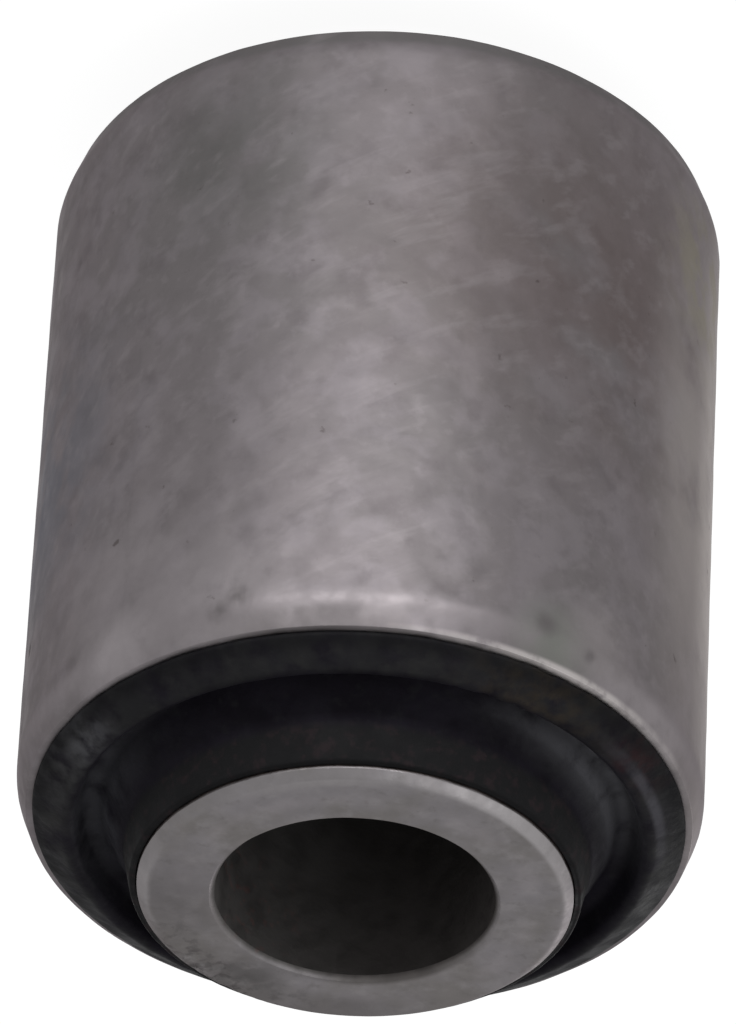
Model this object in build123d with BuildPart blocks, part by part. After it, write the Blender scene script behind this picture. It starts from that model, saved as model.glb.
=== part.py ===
from build123d import *

import os
from math import radians, tan

# Bonded rubber bush: a steel outer sleeve, a moulded rubber element and a steel inner sleeve.
# Millimetres. The axis is Z and the origin is at mid length. Both ends are alike.

# Inner sleeve, clamped by its end faces on a bolt
bolt_diameter = 20.0
bolt_clearance = 0.2       # on the diameter
tube_wall = 5.7
stand_out = 7.0            # how far the inner sleeve passes the outer one, at each end
tube_chamfer = 0.7         # round the outside of each end
bore_chamfer = 0.4         # round the mouth of the bore

# Outer sleeve, pressed into an eye: with the walls given here it is 50 mm across
rubber_wall = 6.7          # rubber between the two sleeves
sleeve_wall = 2.5
sleeve_length = 54.0
lead_in_length = 2.2       # tapered stretch at each end, along the axis
lead_in_depth = 0.8        # how far the taper closes in from the straight outside
shoulder_radius = 2.5      # round between the taper and the straight outside

# Rubber element: what its mould leaves at each end, measured from the outer sleeve's end face
bare_edge = 0.5            # ring of bare steel left round the rubber
lip_height = 0.35          # thickness at the outer edge of the land
land_width = 3.0           # from the outer edge in to the crest beside the groove
crest_height = 2.3         # of the sharp corner that the round then takes down
groove_depth = 0.4
groove_wall_run = 0.8      # how far the groove's outer wall leans in, from crest to floor
groove_floor = 1.0
collar_foot = 1.2          # thickness of the collar where the slope of the groove meets it
collar_foot_height = 3.0
collar_wall = 0.6          # thickness of the collar at its top
collar_setback = 0.9       # from the collar's top to the inner sleeve's end face
lip_round = 0.3
crest_round = 0.8
floor_round = 0.7
foot_round = 1.2
collar_round = 0.3

leg_share = 0.45           # the most of a profile's leg that the round at one of its ends takes up

# Radii from the bore outwards, and heights from mid length
bore_radius = (bolt_diameter + bolt_clearance) / 2
tube_radius = bore_radius + tube_wall
sleeve_bore_radius = tube_radius + rubber_wall
sleeve_radius = sleeve_bore_radius + sleeve_wall
sleeve_end_radius = sleeve_radius - lead_in_depth
lip_radius = sleeve_end_radius - bare_edge
crest_radius = lip_radius - land_width
sleeve_end = sleeve_length / 2
tube_length = sleeve_length + 2 * stand_out
collar_top = tube_length / 2 - collar_setback


def fitted_radii(points, wanted):
    """Radius for each corner of an open polyline, as wanted or as large as its two legs allow."""
    radii = []
    for before, corner, after, radius in zip(points, points[1:], points[2:], wanted):
        leg_in = Vector(*corner) - Vector(*before)
        leg_out = Vector(*after) - Vector(*corner)
        half_turn = radians(leg_in.get_angle(leg_out)) / 2
        room = leg_share * min(leg_in.length, leg_out.length) / tan(half_turn)
        radii.append(min(radius, room))
    return radii


# Outer sleeve: a plain tube whose ends are closed in to a lead-in taper
sleeve_outline = [
    (sleeve_bore_radius, 0),
    (sleeve_bore_radius, sleeve_end),
    (sleeve_end_radius, sleeve_end),
    (sleeve_radius, sleeve_end - lead_in_length),
    (sleeve_radius, 0),
]
sleeve_rounds = fitted_radii(sleeve_outline, [0, 0, shoulder_radius])

with BuildPart() as outer_sleeve:
    with BuildSketch(Plane.XZ):
        with BuildLine():
            FilletPolyline(*sleeve_outline, radius=sleeve_rounds)
            Line(sleeve_outline[-1], sleeve_outline[0])
        make_face()
        mirror(about=Plane.XZ)
    revolve(axis=Axis.Z)

# Inner sleeve: a thick tube, faced and chamfered at both ends
with BuildPart() as inner_sleeve:
    with BuildSketch(Plane.XY.offset(-tube_length / 2)):
        Circle(tube_radius)
        Circle(bore_radius, mode=Mode.SUBTRACT)
    extrude(amount=tube_length)
    rims = inner_sleeve.edges().filter_by(GeomType.CIRCLE).group_by(SortBy.RADIUS)
    chamfer(rims[-1], length=tube_chamfer)
    chamfer(rims[0], length=bore_chamfer)

# Rubber element: fills the space between the sleeves, laps over the outer sleeve's end face as a
# land, dips in a groove and climbs the inner sleeve as a thin collar
groove_outer = crest_radius - groove_wall_run
groove_inner = groove_outer - groove_floor
rubber_outline = [
    (tube_radius, 0),
    (tube_radius, collar_top),
    (tube_radius + collar_wall, collar_top),
    (tube_radius + collar_foot, sleeve_end + collar_foot_height),
    (groove_inner, sleeve_end - groove_depth),
    (groove_outer, sleeve_end - groove_depth),
    (crest_radius, sleeve_end + crest_height),
    (lip_radius, sleeve_end + lip_height),
    (lip_radius, sleeve_end),
    (sleeve_bore_radius, sleeve_end),
    (sleeve_bore_radius, 0),
]
rubber_rounds = fitted_radii(
    rubber_outline,
    [0, collar_round, foot_round, floor_round, floor_round, crest_round, lip_round, 0, 0],
)

with BuildPart() as rubber_element:
    with BuildSketch(Plane.XZ):
        with BuildLine():
            FilletPolyline(*rubber_outline, radius=rubber_rounds)
            Line(rubber_outline[-1], rubber_outline[0])
        make_face()
        mirror(about=Plane.XZ)
    revolve(axis=Axis.Z)

outer_sleeve.part.label = "outer_sleeve"
inner_sleeve.part.label = "inner_sleeve"
rubber_element.part.label = "rubber_element"

os.makedirs("parts", exist_ok=True)
export_step(outer_sleeve.part, "parts/outer_sleeve.step")
export_step(inner_sleeve.part, "parts/inner_sleeve.step")
export_step(rubber_element.part, "parts/rubber_element.step")
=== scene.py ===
import math

import bpy
from mathutils import Matrix, Vector


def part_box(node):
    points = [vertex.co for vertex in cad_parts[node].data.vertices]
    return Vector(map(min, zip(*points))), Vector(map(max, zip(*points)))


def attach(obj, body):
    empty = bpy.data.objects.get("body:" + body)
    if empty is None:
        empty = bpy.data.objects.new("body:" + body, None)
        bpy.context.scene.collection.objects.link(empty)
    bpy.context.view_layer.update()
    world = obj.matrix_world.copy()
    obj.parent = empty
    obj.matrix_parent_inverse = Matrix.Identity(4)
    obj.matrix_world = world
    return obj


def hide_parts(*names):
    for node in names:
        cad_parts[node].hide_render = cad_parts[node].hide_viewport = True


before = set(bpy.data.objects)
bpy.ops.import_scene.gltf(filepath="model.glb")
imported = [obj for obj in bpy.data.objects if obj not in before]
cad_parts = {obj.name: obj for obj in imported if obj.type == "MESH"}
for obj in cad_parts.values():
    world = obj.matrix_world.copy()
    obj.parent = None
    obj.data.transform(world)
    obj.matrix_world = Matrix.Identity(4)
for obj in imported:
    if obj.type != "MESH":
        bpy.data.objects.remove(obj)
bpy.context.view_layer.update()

MM = 0.001
RADIANS = math.radians

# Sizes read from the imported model, in millimetres
_, sleeve_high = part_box("outer_sleeve")
tube_low, tube_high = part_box("inner_sleeve")
_, rubber_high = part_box("rubber_element")
SLEEVE_RADIUS = sleeve_high[0] / MM
SLEEVE_END = sleeve_high[2] / MM
TUBE_RADIUS = tube_high[0] / MM
TUBE_END = tube_high[2] / MM
LIP_RADIUS = rubber_high[0] / MM
COLLAR_TOP = rubber_high[2] / MM

# Sizes that a box doesn't give, as in the CAD model, in millimetres
SLEEVE_WALL = 2.5
LEAD_IN_LENGTH = 2.2
LEAD_IN_DEPTH = 0.8
SHOULDER_ROUND = 2.5
BORE_RADIUS = 10.1
TUBE_CHAMFER = 0.7
BORE_CHAMFER = 0.4
LIP_HEIGHT = 0.35
LAND_WIDTH = 3.0
CREST_HEIGHT = 2.3
GROOVE_DEPTH = 0.4
GROOVE_WALL_RUN = 0.8
GROOVE_FLOOR = 1.0
COLLAR_FOOT = 1.2
COLLAR_FOOT_HEIGHT = 3.0
COLLAR_WALL = 0.6
CREST_ROUND = 0.8
FLOOR_ROUND = 0.7
FOOT_ROUND = 1.2

# Where one face meets the next, in millimetres
SHOULDER_HEIGHT = SLEEVE_END - LEAD_IN_LENGTH
FACE_EDGE = TUBE_RADIUS - TUBE_CHAMFER
CREST_RADIUS = LIP_RADIUS - LAND_WIDTH

# Rounds of the edges that cutting, wear and the mould leave, and of a corner that stays sharp, in
# millimetres
CUT_EDGE = 0.12
WORN_EDGE = 0.9
MOULD_EDGE = 0.3
SHARP = 0.02

# Marks of handling on the upper end, in millimetres: each dent is its place and its reach
SLEEVE_DENTS = (
    ((9.4, -23.1, 24.1), 1.3),
    ((10.8, -22.5, 25.2), 1.3),
    ((-12.5, -21.4, 24.0), 1.5),
    ((-15.7, -19.2, 25.0), 0.9),
)
PITTED_SIDE = (12.0, 12.5, 34.0)
WORN_LAND = (-10.5, -19.5, 28.0)

# How far apart the points of an outline lie, in millimetres: on the ends, on the outer sleeve's long
# wall, on the long walls of the inner sleeve, and on faces that another piece covers
FINE = 0.35
PLAIN = 0.55
COARSE = 4.0
HIDDEN = 8.0

# The most that an outline turns from point to point on a rounded corner, in degrees, and how many
# steps a piece takes round the axis
ARC_STEP = 15
OUTER_SEGMENTS = 600
TUBE_SEGMENTS = 480

# Where in its noise pattern a pit or a nick starts and where it is deepest, and a nick's size in
# millimetres. A pit starts lower than its value here by the share that a piece gives.
PIT_START = 0.80
PIT_FLOOR = 0.85
NICK_START = 0.45
NICK_FLOOR = 0.62
NICK_SIZE = 1.1

SOFT = {"interpolation_type": "SMOOTHSTEP"}
COLOURS = {"data_type": "RGBA"}
TIMES = {"operation": "MULTIPLY"}
SCALED = {"operation": "SCALE"}
APART = {"operation": "DISTANCE"}
LARGER = {"operation": "MAXIMUM"}


def rounded_outline(corners):
    """Closed outline in the half plane of radius and height, with its corners as arcs.

    A corner is (radius, height, round, spacing); the spacing divides the run that follows it.
    """
    arcs = []
    for i, (r, z, rounding, spacing) in enumerate(corners):
        here = Vector((r, z))
        before = Vector(corners[i - 1][:2])
        after = Vector(corners[(i + 1) % len(corners)][:2])
        into = (here - before).normalized()
        out = (after - here).normalized()
        turn = into.angle_signed(out)
        reach = rounding * math.tan(abs(turn) / 2)
        start = here - into * reach
        side = Vector((into.y, -into.x)) * (1 if turn > 0 else -1)
        centre = start + side * rounding
        steps = 1 if rounding == SHARP else max(2, math.ceil(math.degrees(abs(turn)) / ARC_STEP))
        points = []
        for k in range(steps + 1):
            spoke = start - centre
            spoke.rotate(Matrix.Rotation(-turn * k / steps, 2))
            points.append(centre + spoke)
        arcs.append((points, spacing))
    outline = []
    for i, (points, spacing) in enumerate(arcs):
        outline += points
        last = points[-1]
        target = arcs[(i + 1) % len(arcs)][0][0]
        count = max(1, round((target - last).length / spacing))
        for k in range(1, count):
            outline.append(last.lerp(target, k / count))
    return outline


def both_ends(half, closing):
    """Closes the upper half of an outline with its mirror image; closing is the last run's spacing."""
    lower = []
    for i in range(len(half) - 1, -1, -1):
        r, z, rounding, _ = half[i]
        lower.append((r, -z, rounding, half[i - 1][3] if i else closing))
    return half + lower


def outline_object(name, corners):
    """Object whose mesh is only the loop of edges of an outline."""
    points = rounded_outline(corners)
    mesh = bpy.data.meshes.new(name)
    count = len(points)
    mesh.from_pydata(
        [(p.x * MM, p.y * MM, 0) for p in points],
        [(i, (i + 1) % count) for i in range(count)],
        [],
    )
    piece = bpy.data.objects.new(name, mesh)
    bpy.context.scene.collection.objects.link(piece)
    return piece


def add(tree, kind, settings=None, **inputs):
    """Adds a node, sets its properties, and sets or links its inputs by name or number."""
    made = tree.nodes.new(kind)
    for key, value in (settings or {}).items():
        setattr(made, key, value)
    for key, value in inputs.items():
        socket = made.inputs[int(key[1:])] if key[1:].isdigit() else made.inputs[key.replace("_", " ")]
        if isinstance(value, bpy.types.NodeSocket):
            tree.links.new(value, socket)
        else:
            socket.default_value = value
    return made


def linear(colour):
    """Linear colour with alpha from an sRGB hex value."""
    channels = [int(colour[i:i + 2], 16) / 255 for i in (1, 3, 5)]
    return tuple(c / 12.92 if c <= 0.04045 else ((c + 0.055) / 1.055) ** 2.4 for c in channels) + (1.0,)


def turned_body_tree():
    """Geometry Nodes tree that turns an outline about Z and wears its surface inwards."""
    tree = bpy.data.node_groups.new("Turned body", "GeometryNodeTree")
    for name, kind in (
        ("Outline", "NodeSocketGeometry"),
        ("Segments", "NodeSocketInt"),
        ("Ring Radius", "NodeSocketFloat"),
        ("Wave Depth", "NodeSocketFloat"),
        ("Wave Size", "NodeSocketFloat"),
        ("Pit Depth", "NodeSocketFloat"),
        ("Pit Size", "NodeSocketFloat"),
        ("Pit Share", "NodeSocketFloat"),
        ("Nick Place", "NodeSocketVector"),
        ("Nick Reach", "NodeSocketFloat"),
        ("Nick Depth", "NodeSocketFloat"),
        ("Seed", "NodeSocketFloat"),
        ("Finish", "NodeSocketMaterial"),
    ):
        tree.interface.new_socket(name=name, in_out="INPUT", socket_type=kind)
    tree.interface.new_socket(name="Body", in_out="OUTPUT", socket_type="NodeSocketGeometry")
    given = add(tree, "NodeGroupInput").outputs

    # The outline is drawn from the axis; the sweep wants it from the ring that it follows
    from_ring = add(tree, "ShaderNodeCombineXYZ", X=given["Ring Radius"])
    shift = add(tree, "ShaderNodeVectorMath", SCALED, _0=from_ring.outputs[0], Scale=-1.0)
    profile = add(tree, "GeometryNodeMeshToCurve", Mesh=given["Outline"])
    profile = add(tree, "GeometryNodeSetPosition", Geometry=profile.outputs[0], Offset=shift.outputs[0])
    ring = add(
        tree, "GeometryNodeCurvePrimitiveCircle", {"mode": "RADIUS"},
        Resolution=given["Segments"], Radius=given["Ring Radius"],
    )
    ring = add(tree, "GeometryNodeSetCurveNormal", {"mode": "Z_UP"}, Curve=ring.outputs[0])
    body = add(tree, "GeometryNodeCurveToMesh", Curve=ring.outputs[0], Profile_Curve=profile.outputs[0])
    body = add(tree, "GeometryNodeFlipFaces", Mesh=body.outputs[0])

    # Long shallow waves over the whole skin, and pits where a second pattern peaks
    wave_scale = add(tree, "ShaderNodeMath", {"operation": "DIVIDE"}, _0=1.0, _1=given["Wave Size"])
    pit_scale = add(tree, "ShaderNodeMath", {"operation": "DIVIDE"}, _0=1.0, _1=given["Pit Size"])
    wave = add(
        tree, "ShaderNodeTexNoise", {"noise_dimensions": "4D"},
        W=given["Seed"], Scale=wave_scale.outputs[0], Detail=2.0,
    )
    pit = add(
        tree, "ShaderNodeTexNoise", {"noise_dimensions": "4D"},
        W=given["Seed"], Scale=pit_scale.outputs[0], Detail=1.0,
    )
    pit_edge = add(tree, "ShaderNodeMath", {"operation": "SUBTRACT"}, _0=PIT_START, _1=given["Pit Share"])
    pit_mask = add(
        tree, "ShaderNodeMapRange", SOFT,
        Value=pit.outputs[0], From_Min=pit_edge.outputs[0], From_Max=PIT_FLOOR,
    )
    wave_depth = add(tree, "ShaderNodeMath", TIMES, _0=wave.outputs[0], _1=given["Wave Depth"])
    pit_depth = add(tree, "ShaderNodeMath", TIMES, _0=pit_mask.outputs[0], _1=given["Pit Depth"])
    depth = add(
        tree, "ShaderNodeMath", {"operation": "ADD"},
        _0=wave_depth.outputs[0], _1=pit_depth.outputs[0],
    )

    # Nicks from handling, crowded round one place
    spot = add(tree, "GeometryNodeInputPosition")
    away = add(tree, "ShaderNodeVectorMath", APART, _0=spot.outputs[0], _1=given["Nick Place"])
    crowd = add(
        tree, "ShaderNodeMapRange", SOFT,
        Value=away.outputs[1], From_Min=given["Nick Reach"], From_Max=0.0, To_Max=given["Nick Depth"],
    )
    nick = add(tree, "ShaderNodeTexNoise", Scale=1 / (NICK_SIZE * MM), Detail=2.0)
    nick = add(
        tree, "ShaderNodeMapRange", SOFT,
        Value=nick.outputs[0], From_Min=NICK_START, From_Max=NICK_FLOOR,
    )
    nicked = add(
        tree, "ShaderNodeMath", {"operation": "MULTIPLY_ADD"},
        _0=nick.outputs[0], _1=crowd.outputs[0], _2=depth.outputs[0],
    )
    inward = add(tree, "ShaderNodeMath", TIMES, _0=nicked.outputs[0], _1=-1.0)
    normal = add(tree, "GeometryNodeInputNormal")
    offset = add(tree, "ShaderNodeVectorMath", SCALED, _0=normal.outputs[0], Scale=inward.outputs[0])
    worn = add(tree, "GeometryNodeSetPosition", Geometry=body.outputs[0], Offset=offset.outputs[0])
    smooth = add(tree, "GeometryNodeSetShadeSmooth", Geometry=worn.outputs[0])
    real = add(tree, "GeometryNodeRealizeInstances", Geometry=smooth.outputs[0])
    done = add(tree, "GeometryNodeSetMaterial", Geometry=real.outputs[0], Material=given["Finish"])
    add(tree, "NodeGroupOutput", Body=done.outputs[0])
    return tree


def turned_body(tree, name, corners, segments, finish, seed, wave, pit, nick):
    """Piece turned from an outline, as a plain mesh.

    Its wear is in millimetres: wave is (depth, size), pit is (depth, size, share), where a larger
    share gives more pits, and nick is (place, reach, depth).
    """
    piece = outline_object(name, corners)
    grower = piece.modifiers.new("Turned body", "NODES")
    grower.node_group = tree
    values = {
        "Segments": segments,
        "Ring Radius": TUBE_RADIUS * MM,
        "Wave Depth": wave[0] * MM,
        "Wave Size": wave[1] * MM,
        "Pit Depth": pit[0] * MM,
        "Pit Size": pit[1] * MM,
        "Pit Share": pit[2],
        "Nick Place": tuple(c * MM for c in nick[0]),
        "Nick Reach": nick[1] * MM,
        "Nick Depth": nick[2] * MM,
        "Seed": seed,
        "Finish": finish,
    }
    for item in tree.interface.items_tree:
        if item.in_out == "INPUT" and item.name in values:
            grower[item.identifier] = values[item.name]
    evaluated = piece.evaluated_get(bpy.context.evaluated_depsgraph_get())
    mesh = bpy.data.meshes.new_from_object(evaluated)
    piece.modifiers.remove(grower)
    piece.data = mesh
    return piece


def new_material(name):
    """Material with a Principled shader, and sockets for its place, its radius and its x and z."""
    made = bpy.data.materials.new(name)
    made.use_nodes = True
    tree = made.node_tree
    tree.nodes.clear()
    shader = add(tree, "ShaderNodeBsdfPrincipled")
    add(tree, "ShaderNodeOutputMaterial", Surface=shader.outputs[0])
    place = add(tree, "ShaderNodeTexCoord").outputs["Object"]
    flat = add(tree, "ShaderNodeVectorMath", TIMES, _0=place, _1=(1, 1, 0))
    radius = add(tree, "ShaderNodeVectorMath", {"operation": "LENGTH"}, _0=flat.outputs[0]).outputs[1]
    apart = add(tree, "ShaderNodeSeparateXYZ", Vector=place).outputs
    return made, shader, place, radius, apart[0], apart[2]


def blotches(
    place, size, start, end, strength=1.0, seed=0.0, stretch=(1, 1, 1), lean=(0, 0, 0), detail=4.0,
):
    """Mask of soft blotches of about that size in millimetres.

    It is 0 where the noise pattern is under start and rises to strength where the pattern is end.
    """
    tree = place.id_data
    laid = add(
        tree, "ShaderNodeMapping", {"vector_type": "TEXTURE"},
        Vector=place, Location=(seed, seed, seed), Rotation=lean, Scale=stretch,
    )
    noise = add(
        tree, "ShaderNodeTexNoise",
        Vector=laid.outputs[0], Scale=1 / (size * MM), Detail=detail, Roughness=0.55,
    )
    mask = add(
        tree, "ShaderNodeMapRange", SOFT,
        Value=noise.outputs[0], From_Min=start, From_Max=end, To_Max=strength,
    )
    return mask.outputs[0]


def between(value, start, end):
    """Mask that goes from 0 where a length is start to 1 where it is end, both in millimetres."""
    return add(
        value.id_data, "ShaderNodeMapRange", SOFT, Value=value, From_Min=start * MM, From_Max=end * MM,
    ).outputs[0]


def near(place, centre, reach):
    """Mask that is 1 at a point on the piece and fades to 0 at its reach, in millimetres."""
    point = tuple(c * MM for c in centre)
    away = add(place.id_data, "ShaderNodeVectorMath", APART, _0=place, _1=point)
    return between(away.outputs[1], reach, 0)


def overlap(mask, *others):
    """Mask of the place where masks overlap, which is their product."""
    for other in others:
        mask = add(mask.id_data, "ShaderNodeMath", TIMES, _0=mask, _1=other).outputs[0]
    return mask


def coated(below, above, *masks):
    """Colour below, with another laid over it where the masks overlap; either may be a hex value."""
    mask = overlap(*masks)
    pair = [linear(c) if isinstance(c, str) else c for c in (below, above)]
    return add(mask.id_data, "ShaderNodeMix", COLOURS, _0=mask, _6=pair[0], _7=pair[1]).outputs[2]


def patched(colour, place, patches):
    """Colour with patches laid over it in turn.

    A patch is its tone, its centre and reach in millimetres, and the size, start, end, strength and
    seed of the blotches that break it up.
    """
    for tone, centre, reach, mottle in patches:
        colour = coated(colour, tone, near(place, centre, reach), blotches(place, *mottle))
    return colour


def drawn_steel():
    """Drawn mild steel tube, ground, tumbled and lightly oiled.

    Bare satin grey with a warm cast. Tumbling leaves shallow dings that break the long highlight
    into blotches, handling leaves fine leaning rubs, and the oil film turns brown where it is thick.
    """
    made, shader, place, radius, place_x, along = new_material("drawn mild steel, tumbled and oiled")
    tree = made.node_tree

    # Oil film in patches some 16 mm across, then the tumbled mottle and its finer grain
    colour = coated("#676364", "#6d686a", blotches(place, 16, 0.35, 0.65))
    colour = coated(colour, "#757073", blotches(place, 4.0, 0.45, 0.62, strength=0.6, seed=0.1))
    colour = coated(colour, "#5e595b", blotches(place, 2.6, 0.50, 0.70, strength=0.45, seed=0.2))
    colour = coated(colour, "#7b7678", blotches(place, 1.2, 0.55, 0.72, strength=0.25, seed=0.3))

    # Thick oil is brown on the near side, which is -Y, and a faint blue on the +X side is a painted
    # reflection
    colour = patched(colour, place, (
        ("#5c5352", (-16, -19, -8), 26, (9, 0.30, 0.55, 0.75, 0.4)),
        ("#5d6067", (25, -4, 4), 19, (5, 0.35, 0.60, 0.8, 0.5)),
    ))

    # Painted light on the -X side, palest where it stands out furthest
    painted_edge_light = overlap(near(place, (-25, -5, 2), 34), blotches(place, 9, 0.15, 0.50, seed=0.45))
    colour = coated(colour, "#8a8583", painted_edge_light, between(place_x, -18.4, -22.8))
    colour = coated(colour, "#a09b98", painted_edge_light, between(place_x, -23.2, -24.6))

    # A straw tint low on that side, two paler patches and a darker one on the near side, and painted shade
    # on the lower taper
    colour = patched(colour, place, (
        ("#7d7a66", (-24, -8, -17), 10, (3, 0.40, 0.60, 0.6, 0.6)),
        ("#7c7779", (18, -17, 20), 13, (4, 0.25, 0.55, 0.8, 0.55)),
        ("#837e80", (11, -22.5, 24), 9, (3, 0.20, 0.55, 0.8, 0.58)),
        ("#595857", (12, -22, -17), 12, (6, 0.25, 0.55, 0.7, 0.6)),
    ))
    # Painted shade: the lower taper is darker, as it looks down at the floor in the piece's shadow
    shaded_lower_taper = between(along, -SHOULDER_HEIGHT - 0.3, -SHOULDER_HEIGHT - 1.3)
    colour = coated(colour, "#605e5e", shaded_lower_taper, blotches(place, 3, 0.20, 0.50, strength=0.9, seed=0.65))

    # Leaning rubs about 1 mm wide, and rust specks of about 1 mm
    rubs = blotches(
        place, 1.6, 0.52, 0.70, strength=0.25, seed=0.7, stretch=(1, 1, 6), lean=(0, RADIANS(62), 0),
    )
    colour = coated(colour, "#817c7e", rubs)
    colour = coated(colour, "#3d3634", blotches(place, 1.3, 0.69, 0.78, strength=0.55, seed=0.8))

    # Painted highlight along the shoulder, where the upper taper starts, with some rubbing from handling
    shoulder_highlight = overlap(
        between(radius, SLEEVE_RADIUS - 0.7, SLEEVE_RADIUS - 0.1),
        between(along, SHOULDER_HEIGHT - 0.9, SHOULDER_HEIGHT + 0.2),
    )
    colour = coated(colour, "#777274", shoulder_highlight, blotches(place, 3.5, 0.20, 0.50, strength=0.8, seed=1.0))

    # The taper is scuffed pale towards -X, and dark with oil in the middle of the near side
    scuffed = overlap(
        between(along, SHOULDER_HEIGHT - 0.2, SHOULDER_HEIGHT + 0.8),
        near(place, (-20, -13, 26), 10),
    )
    colour = coated(colour, "#827d7f", scuffed, blotches(place, 2.5, 0.20, 0.50, strength=0.9, seed=1.4))
    oiled = overlap(
        between(along, SHOULDER_HEIGHT + 0.3, SHOULDER_HEIGHT + 1.1),
        near(place, (4.5, -23.8, 26.3), 8),
    )
    colour = coated(colour, "#605c5d", oiled, blotches(place, 3, 0.10, 0.50, strength=0.9, seed=1.45))

    # Beside the rim the oil film is greenish in one place and wiped thin in two more
    film = blotches(place, 2.2, 0.15, 0.50, strength=0.8, seed=1.7)
    film_reach = 5.0
    for centre, tone in (
        ((-13.5, -21.0, 25.0), "#6c6e69"),
        ((-16.5, -18.6, 23.3), "#807b7c"),
        ((18.0, -17.2, 25.2), "#8d888a"),
    ):
        colour = coated(colour, tone, near(place, centre, film_reach), film)

    # Dirt stays in the dents
    uneven = blotches(place, 1.1, 0.20, 0.55, strength=0.9, seed=0.9, detail=1.0)
    for dent, reach in SLEEVE_DENTS:
        colour = coated(colour, "#5f5b5c", near(place, dent, reach), uneven)

    # Painted highlight on the cut edge at the end of the taper, which is also bright metal where it is
    # rubbed
    cut_edge_highlight = overlap(
        between(along, SLEEVE_END - 0.6, SLEEVE_END - 0.2),
        near(place, (-14.5, -18.5, 27), 18),
    )
    colour = coated(colour, "#a8a3a2", cut_edge_highlight, blotches(place, 1.8, 0.25, 0.55, seed=1.6))
    tree.links.new(colour, shader.inputs["Base Color"])

    # The gloss changes in patches with the oil film
    patchy = blotches(place, 2.8, 0.30, 0.70, seed=1.1)
    rough = add(tree, "ShaderNodeMapRange", Value=patchy, To_Min=0.42, To_Max=0.58)
    tree.links.new(rough.outputs[0], shader.inputs["Roughness"])

    # Dings 3 mm across, and the grit of the tumbling, drawn at 0.5 mm because the real grit is too
    # fine to show
    dings = blotches(place, 3.0, 0.30, 0.70, seed=1.2, detail=0.5)
    grit = blotches(place, 0.5, 0.25, 0.75, seed=1.3)
    relief = add(tree, "ShaderNodeBump", Strength=1.0, Distance=0.05 * MM, Height=dings)
    relief = add(
        tree, "ShaderNodeBump",
        Strength=1.0, Distance=0.003 * MM, Height=grit, Normal=relief.outputs[0],
    )
    tree.links.new(relief.outputs[0], shader.inputs["Normal"])

    # Grinding marks, too fine to draw, run round the wall, so the highlight spreads along the axis
    round_wall = add(tree, "ShaderNodeTangent", {"direction_type": "RADIAL", "axis": "Z"})
    tree.links.new(round_wall.outputs[0], shader.inputs["Tangent"])
    shader.inputs["Metallic"].default_value = 1.0
    shader.inputs["Anisotropic"].default_value = 0.45
    shader.inputs["Anisotropic Rotation"].default_value = 0.25
    shader.inputs["Specular Tint"].default_value = linear("#c4c0c1")
    return made


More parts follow.
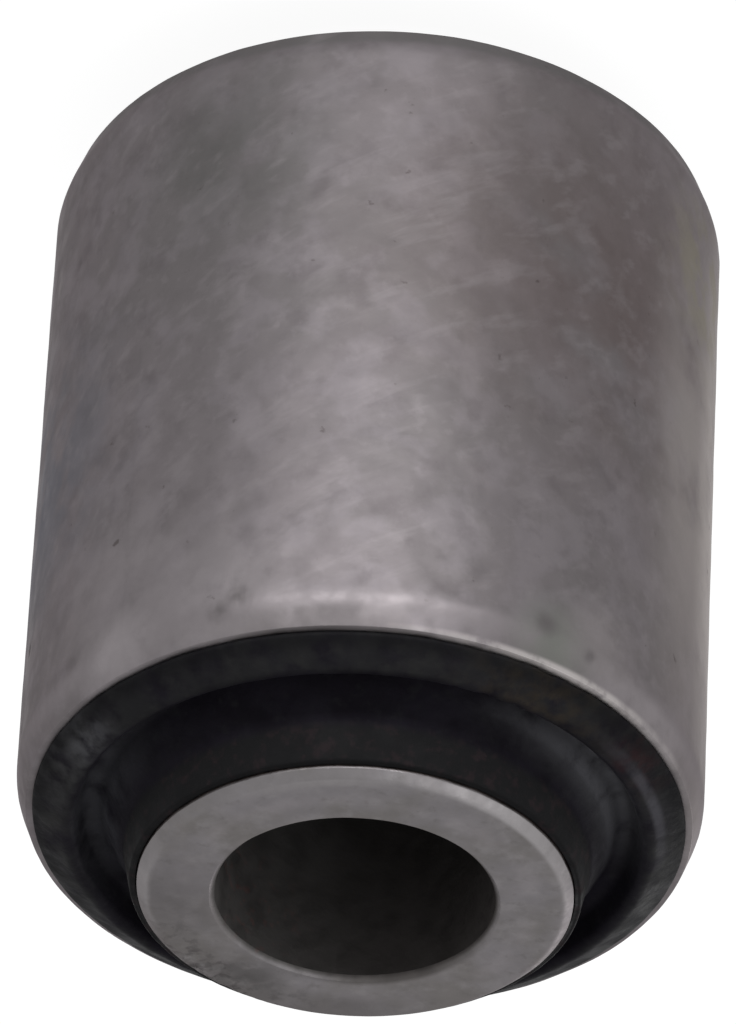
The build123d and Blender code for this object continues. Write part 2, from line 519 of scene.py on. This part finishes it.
def faced_steel():
    """Thick mild steel tube, sawn off and faced in a lathe.

    The end face is dull grey with a painted highlight on the chamfer round it, pitted where scale was left
    on, and the bore is painted dark as shade, with painted light towards +X.
    """
    made, shader, place, radius, place_x, along = new_material("faced mild steel, painted dark bore")
    tree = made.node_tree
    height = add(tree, "ShaderNodeMath", {"operation": "ABSOLUTE"}, _0=along).outputs[0]

    # Dull grey in patches some 6 mm across, with finer light and dark grain
    colour = coated("#6b6867", "#747173", blotches(place, 6, 0.35, 0.65, seed=2.1))
    colour = coated(colour, "#7f7c7d", blotches(place, 1.6, 0.48, 0.72, strength=0.5, seed=2.2))
    colour = coated(colour, "#5d5a59", blotches(place, 1.1, 0.55, 0.75, strength=0.5, seed=2.3))

    # Turning marks, drawn as faint broken rings 2.8 mm apart because the tool's real feed of about
    # 0.1 mm is too fine to show. A wave pattern of scale 1 turns by 20 radians in a metre.
    ring_spacing = 2.827
    tracks = add(
        tree, "ShaderNodeTexWave", {"wave_type": "RINGS", "rings_direction": "Z"},
        Vector=place, Scale=math.tau / (20 * ring_spacing * MM),
        Distortion=1.2, Detail=2.0, Detail_Scale=2.0,
    ).outputs[1]
    colour = coated(colour, "#8a8587", tracks, blotches(place, 3, 0.40, 0.65, strength=0.22, seed=2.4))

    # Painted highlight on the chamfer, brightest on the near side towards -X and on the +X side
    highlight_blotches = blotches(place, 2.0, 0.20, 0.50)
    rim = overlap(
        between(radius, FACE_EDGE - 0.3, FACE_EDGE + 0.05),
        between(height, TUBE_END - 1.0, TUBE_END - 0.6),
    )
    colour = coated(colour, "#726f70", rim, blotches(place, 2.0, 0.30, 0.58, strength=0.85, seed=2.5))
    colour = coated(colour, "#8b8889", rim, near(place, (-12, -10, 34), 13), highlight_blotches)
    colour = coated(colour, "#838081", rim, near(place, (15, 0, 34), 7), highlight_blotches)

    # Painted highlight on the face too, just inside the chamfer on the near side, and the face is dull on
    # the +X side
    highlight_beside_rim = overlap(
        between(radius, FACE_EDGE - 0.9, FACE_EDGE - 0.4),
        between(radius, FACE_EDGE + 0.1, FACE_EDGE - 0.1),
        near(place, (2.5, -15, 34), 8),
    )
    colour = coated(colour, "#7c797a", highlight_beside_rim, highlight_blotches)
    dull = overlap(near(place, (13.5, 1, 34), 9), between(radius, FACE_EDGE - 0.1, FACE_EDGE - 0.5))
    colour = coated(colour, "#605d5e", dull, blotches(place, 3, 0.10, 0.50, strength=0.75, seed=2.55))

    # Oil darkens the outer part of the face on the far side, and scale pits crowd beside it towards +X
    outer_face = between(radius, BORE_RADIUS + 1.4, BORE_RADIUS + 3.4)
    oily = overlap(near(place, (1, 15.5, 34), 10), outer_face)
    colour = coated(colour, "#5e5b5b", oily, blotches(place, 3, 0.10, 0.50, strength=0.8, seed=2.57))
    pitted = overlap(near(place, PITTED_SIDE, 14), outer_face)
    colour = coated(colour, "#5f5c5b", pitted, blotches(place, 2.0, 0.34, 0.56, strength=0.8, seed=2.6))
    colour = coated(colour, "#444242", pitted, blotches(place, 1.0, 0.48, 0.64, strength=0.7, seed=2.7))

    # A stain on the face and old oil round the mouth of the bore, both on the far side
    colour = patched(colour, place, (
        ("#545252", (7.3, 10.5, 34), 4.5, (1.4, 0.20, 0.50, 0.9, 2.72)),
    ))
    mouth = between(radius, BORE_RADIUS + 1.0, BORE_RADIUS + 0.3)
    colour = coated(colour, "#4c4948", mouth, near(place, (-4, 9, 34), 12))

    # The wall is brown with rust, which shows as a thin line between the collar and the chamfer
    colour = coated(colour, "#4b4240", between(height, TUBE_END - TUBE_CHAMFER, TUBE_END - 1.0))

    # Bore: painted shade makes it near black, with painted light towards +X where light falls on its wall,
    # and some rust where the oil has dried
    painted_bore_shade_and_light = coated("#413e3d", "#474443", blotches(place, 6, 0.30, 0.70, seed=2.8))
    painted_bore_shade_and_light = coated(painted_bore_shade_and_light, "#585655", between(place_x, -4, 9))
    painted_bore_shade_and_light = patched(painted_bore_shade_and_light, place, (
        ("#6c5653", (7.6, 6.4, 30), 7, (0.8, 0.55, 0.66, 0.8, 2.9)),
    ))
    bore = between(radius, BORE_RADIUS + 0.35, BORE_RADIUS + 0.05)
    colour = coated(colour, painted_bore_shade_and_light, bore)
    tree.links.new(colour, shader.inputs["Base Color"])

    # The gloss changes in patches, and the bore is rougher than the face
    added_in_bore = 0.22
    patchy = blotches(place, 1.8, 0.30, 0.70, seed=3.0)
    rough = add(tree, "ShaderNodeMapRange", Value=patchy, To_Min=0.42, To_Max=0.60)
    rough = add(
        tree, "ShaderNodeMath", {"operation": "MULTIPLY_ADD"},
        _0=bore, _1=added_in_bore, _2=rough.outputs[0],
    )
    tree.links.new(rough.outputs[0], shader.inputs["Roughness"])

    # Small dents of 1.2 mm under the turning marks
    dents = blotches(place, 1.2, 0.25, 0.75, seed=3.1)
    relief = add(tree, "ShaderNodeBump", Strength=1.0, Distance=0.025 * MM, Height=dents)
    relief = add(
        tree, "ShaderNodeBump",
        Strength=0.5, Distance=0.004 * MM, Height=tracks, Normal=relief.outputs[0],
    )
    tree.links.new(relief.outputs[0], shader.inputs["Normal"])
    shader.inputs["Metallic"].default_value = 1.0
    shader.inputs["Specular Tint"].default_value = linear("#c4c0c1")
    return made


def moulded_rubber():
    """Natural rubber with carbon black, moulded and bonded between the sleeves.

    Near black with hardly any sheen. The land that is handled carries grey dust. Painted light lies in the
    groove, beside it and on the collar's top, which has a little rust, and the land's edge has painted
    shade.
    """
    made, shader, place, radius, _, along = new_material("moulded natural rubber, carbon black")
    tree = made.node_tree
    height = add(tree, "ShaderNodeMath", {"operation": "ABSOLUTE"}, _0=along).outputs[0]

    # Near black with a soft mottle, and greyer specks of about 1 mm
    colour = coated("#110f14", "#17151b", blotches(place, 3.5, 0.35, 0.65, seed=4.1))
    colour = coated(colour, "#1d1d1f", blotches(place, 1.0, 0.50, 0.75, strength=0.6, seed=4.2))

    # Grey dust on the land, thicker towards -X and +X, with a brown and a red tint on the near side
    land = between(radius, CREST_RADIUS - 0.1, CREST_RADIUS + 0.9)
    colour = coated(colour, "#202021", land, blotches(place, 2.4, 0.30, 0.62, strength=0.8, seed=4.3))
    colour = coated(colour, "#292928", land, blotches(place, 1.6, 0.45, 0.75, strength=0.5, seed=4.4))
    for centre, reach, tone in (
        ((-22.5, 5.5, 28), 12, "#2b2b2b"),
        ((20.5, -7.5, 28), 9, "#353536"),
        ((19.5, -10.0, 28), 4, "#48484b"),
        ((-12.5, -18.5, 28), 9, "#2d2822"),
        ((-20.5, -11.0, 28), 5, "#2d1b1d"),
    ):
        speckle = overlap(
            land, blotches(place, 1.3, 0.34, 0.70, strength=0.85, seed=4.5 + centre[0] / 100),
        )
        colour = coated(colour, tone, near(place, centre, reach), speckle)

    # Painted shade on the outer edge of the land, beside the sleeve
    shaded_land_edge = overlap(
        between(radius, LIP_RADIUS - 1.4, LIP_RADIUS - 0.3),
        blotches(place, 2.0, 0.10, 0.50, strength=0.55, seed=4.6),
    )
    colour = coated(colour, "#0f0f10", shaded_land_edge)

    # Painted light on the upper part of the collar, a shade greyer than the groove below it, with specks of
    # rust
    lit_and_rusty_collar_top = overlap(
        between(radius, TUBE_RADIUS + 1.7, TUBE_RADIUS + 1.3),
        between(height, COLLAR_TOP - 3.3, COLLAR_TOP - 2.3),
    )
    colour = coated(colour, "#161617", lit_and_rusty_collar_top)
    colour = coated(colour, "#261e20", lit_and_rusty_collar_top, blotches(place, 0.9, 0.50, 0.68, strength=0.5, seed=4.8))

    # Painted light in the groove, strong and in rings round the axis towards -X, and faint towards +X
    groove = overlap(
        between(radius, TUBE_RADIUS + 1.1, TUBE_RADIUS + 2.5),
        between(radius, CREST_RADIUS + 0.2, CREST_RADIUS - 0.5),
    )
    painted_groove_light = overlap(
        groove, near(place, (-16.5, -8.0, 28), 15),
        blotches(place, 3.0, 0.20, 0.55, strength=0.95, seed=4.9),
    )
    by_radius = add(tree, "ShaderNodeCombineXYZ", X=radius).outputs[0]
    light_rings = blotches(by_radius, 1.0, 0.35, 0.60, strength=0.4, seed=4.96, detail=1.0)
    colour = coated(colour, "#3e3e41", painted_groove_light)
    colour = coated(colour, "#5e5e63", painted_groove_light, light_rings)
    # Faint painted light in the groove towards +X
    faint_groove_light = overlap(
        groove, near(place, (19.0, -1.0, 27), 15),
        blotches(place, 3.0, 0.25, 0.60, strength=0.9, seed=4.95),
    )
    colour = coated(colour, "#38383c", faint_groove_light)

    # Painted light on the land as well, beside the groove towards -X
    painted_land_light = overlap(
        between(radius, CREST_RADIUS + 0.7, CREST_RADIUS + 1.1),
        between(radius, CREST_RADIUS + 1.8, CREST_RADIUS + 1.3),
        near(place, (-20.5, -6.0, 28.5), 11),
        blotches(place, 2.0, 0.20, 0.60, strength=0.8, seed=4.97),
    )
    colour = coated(colour, "#444348", painted_land_light)
    tree.links.new(colour, shader.inputs["Base Color"])

    # The mould leaves the skin duller in some patches than in others
    patchy = blotches(place, 2.2, 0.30, 0.70, seed=5.0)
    rough = add(tree, "ShaderNodeMapRange", Value=patchy, To_Min=0.52, To_Max=0.72)
    tree.links.new(rough.outputs[0], shader.inputs["Roughness"])

    # An uneven skin of 1.1 mm, and the grain of the mould, drawn at 0.35 mm because the real one is
    # too fine to show
    skin = blotches(place, 1.1, 0.25, 0.75, seed=5.1)
    grain = blotches(place, 0.35, 0.25, 0.75, seed=5.2)
    relief = add(tree, "ShaderNodeBump", Strength=1.0, Distance=0.03 * MM, Height=skin)
    relief = add(
        tree, "ShaderNodeBump",
        Strength=1.0, Distance=0.008 * MM, Height=grain, Normal=relief.outputs[0],
    )
    tree.links.new(relief.outputs[0], shader.inputs["Normal"])
    shader.inputs["Specular IOR Level"].default_value = 0.03
    return made


# Outlines of the three pieces, from the upper inner corner outwards
sleeve_corners = both_ends([
    (SLEEVE_RADIUS - SLEEVE_WALL, SLEEVE_END, CUT_EDGE, FINE),
    (SLEEVE_RADIUS - LEAD_IN_DEPTH, SLEEVE_END, CUT_EDGE, FINE),
    (SLEEVE_RADIUS, SHOULDER_HEIGHT, SHOULDER_ROUND, PLAIN),
], HIDDEN)
tube_corners = both_ends([
    (BORE_RADIUS, TUBE_END - BORE_CHAMFER, CUT_EDGE, FINE),
    (BORE_RADIUS + BORE_CHAMFER, TUBE_END, CUT_EDGE, FINE),
    (FACE_EDGE, TUBE_END, WORN_EDGE, FINE),
    (TUBE_RADIUS, TUBE_END - TUBE_CHAMFER, CUT_EDGE, COARSE),
], COARSE)
groove_outer = CREST_RADIUS - GROOVE_WALL_RUN
rubber_corners = both_ends([
    (TUBE_RADIUS, COLLAR_TOP, SHARP, FINE),
    (TUBE_RADIUS + COLLAR_WALL, COLLAR_TOP, MOULD_EDGE, FINE),
    (TUBE_RADIUS + COLLAR_FOOT, SLEEVE_END + COLLAR_FOOT_HEIGHT, FOOT_ROUND, FINE),
    (groove_outer - GROOVE_FLOOR, SLEEVE_END - GROOVE_DEPTH, FLOOR_ROUND, FINE),
    (groove_outer, SLEEVE_END - GROOVE_DEPTH, FLOOR_ROUND, FINE),
    (CREST_RADIUS, SLEEVE_END + CREST_HEIGHT, CREST_ROUND, FINE),
    (LIP_RADIUS, SLEEVE_END + LIP_HEIGHT, MOULD_EDGE, FINE),
    (LIP_RADIUS, SLEEVE_END, SHARP, FINE),
    (SLEEVE_RADIUS - SLEEVE_WALL, SLEEVE_END, SHARP, HIDDEN),
], HIDDEN)

turning = turned_body_tree()
sleeve = turned_body(
    turning, "outer_sleeve_turned", sleeve_corners, OUTER_SEGMENTS, drawn_steel(), seed=1.0,
    wave=(0.12, 4.5), pit=(0.12, 1.4, 0.06), nick=(SLEEVE_DENTS[0][0], 2.2, 0.08),
)
tube = turned_body(
    turning, "inner_sleeve_turned", tube_corners, TUBE_SEGMENTS, faced_steel(), seed=2.0,
    wave=(0.08, 3.0), pit=(0.12, 1.0, 0.10), nick=(PITTED_SIDE, 7.0, 0.45),
)
rubber = turned_body(
    turning, "rubber_element_moulded", rubber_corners, OUTER_SEGMENTS, moulded_rubber(), seed=3.0,
    wave=(0.14, 3.2), pit=(0.0, 1.0, 0.0), nick=(WORN_LAND, 9.0, 0.12),
)

for piece, node_name, slot_name in (
    (sleeve, "outer_sleeve", "outer_sleeve_steel"),
    (tube, "inner_sleeve", "inner_sleeve_steel"),
    (rubber, "rubber_element", "rubber"),
):
    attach(piece, "root")
    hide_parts(node_name)

# Camera: it looks down on one end from the -Y side, and hangs the picture upside down, so that this
# end shows lowest and +X is on the left. Its place is in metres.
CAMERA_PLACE = Vector((0.000496, -0.625486, 0.458096))
CAMERA_ELEVATION = RADIANS(36.264)
CAMERA_ROLL = RADIANS(182.986)
LENS_MM = 369.02
SENSOR_MM = 36.0

lens = bpy.data.cameras.new("camera")
lens.lens = LENS_MM
lens.sensor_width = SENSOR_MM
lens.clip_start = 0.01
lens.clip_end = 20.0
camera = bpy.data.objects.new("camera", lens)
bpy.context.scene.collection.objects.link(camera)
camera.matrix_world = (
    Matrix.Translation(CAMERA_PLACE)
    @ Matrix.Rotation(math.pi / 2 - CAMERA_ELEVATION, 4, "X")
    @ Matrix.Rotation(CAMERA_ROLL, 4, "Z")
)
bpy.context.scene.camera = camera


def softbox(name, azimuth, elevation, distance, size, power):
    """Rectangular soft light that faces the middle of the piece and isn't seen by the camera.

    Azimuth is from -Y towards -X and elevation is above the middle, both in degrees. Distance and
    size are in metres and power is in watts.
    """
    turned = Matrix.Rotation(RADIANS(-azimuth), 3, "Z") @ Matrix.Rotation(RADIANS(-elevation), 3, "X")
    place = turned @ Vector((0, -distance, 0))
    lamp = bpy.data.lights.new(name, "AREA")
    lamp.shape = "RECTANGLE"
    lamp.size = size[0]
    lamp.size_y = size[1]
    lamp.energy = power
    holder = bpy.data.objects.new(name, lamp)
    bpy.context.scene.collection.objects.link(holder)
    holder.location = place
    holder.rotation_mode = "QUATERNION"
    holder.rotation_quaternion = (-place).to_track_quat("-Z", "Y")
    holder.visible_camera = False


softbox("key softbox", azimuth=50, elevation=50, distance=0.8, size=(0.45, 0.45), power=1.1)
softbox("low strip", azimuth=-2, elevation=-4, distance=0.2, size=(0.19, 0.028), power=0.30)
softbox("rim strip", azimuth=148, elevation=4, distance=0.5, size=(0.16, 0.22), power=0.5)


def shows_as_white(tree):
    """1 for what is seen, straight, in a reflection or through glass, and 0 for light on the piece."""
    path = add(tree, "ShaderNodeLightPath").outputs
    seen = add(tree, "ShaderNodeMath", LARGER, _0=path["Is Camera Ray"], _1=path["Is Glossy Ray"])
    seen = add(tree, "ShaderNodeMath", LARGER, _0=seen.outputs[0], _1=path["Is Transmission Ray"])
    return seen.outputs[0]


# Backdrop: white to the eye and in reflections, grey as a source of light
LIGHT_FROM_BACKDROP = 0.65
world = bpy.data.worlds.new("studio")
bpy.context.scene.world = world
world.use_nodes = True
sky = world.node_tree
sky.nodes.clear()
level = add(sky, "ShaderNodeMapRange", Value=shows_as_white(sky), To_Min=LIGHT_FROM_BACKDROP, To_Max=1.0)
glow = add(sky, "ShaderNodeBackground", Color=(1, 1, 1, 1), Strength=level.outputs[0])
add(sky, "ShaderNodeOutputWorld", Surface=glow.outputs[0])

# Floor: white paper, most of it glowing to the eye and in reflections, so that it is white and keeps
# a shadow
FLOOR_REACH = 3.0
GLOW_SHARE = 0.8
GLOW_STRENGTH = 1.15
paper = bpy.data.materials.new("studio paper")
paper.use_nodes = True
tree = paper.node_tree
tree.nodes.clear()
lit = add(tree, "ShaderNodeBsdfDiffuse", Color=linear("#ececec"))
white = add(tree, "ShaderNodeEmission", Color=(1, 1, 1, 1), Strength=GLOW_STRENGTH)
share = add(tree, "ShaderNodeMath", TIMES, _0=shows_as_white(tree), _1=GLOW_SHARE)
mixed = add(tree, "ShaderNodeMixShader", _0=share.outputs[0], _1=lit.outputs[0], _2=white.outputs[0])
add(tree, "ShaderNodeOutputMaterial", Surface=mixed.outputs[0])
sheet = bpy.data.meshes.new("floor")
sheet.from_pydata(
    [(x * FLOOR_REACH, y * FLOOR_REACH, tube_low[2]) for x, y in ((-1, -1), (1, -1), (1, 1), (-1, 1))],
    [],
    [(0, 1, 2, 3)],
)
sheet.materials.append(paper)
floor = bpy.data.objects.new("floor", sheet)
bpy.context.scene.collection.objects.link(floor)

bpy.context.scene.view_settings.view_transform = "Standard"
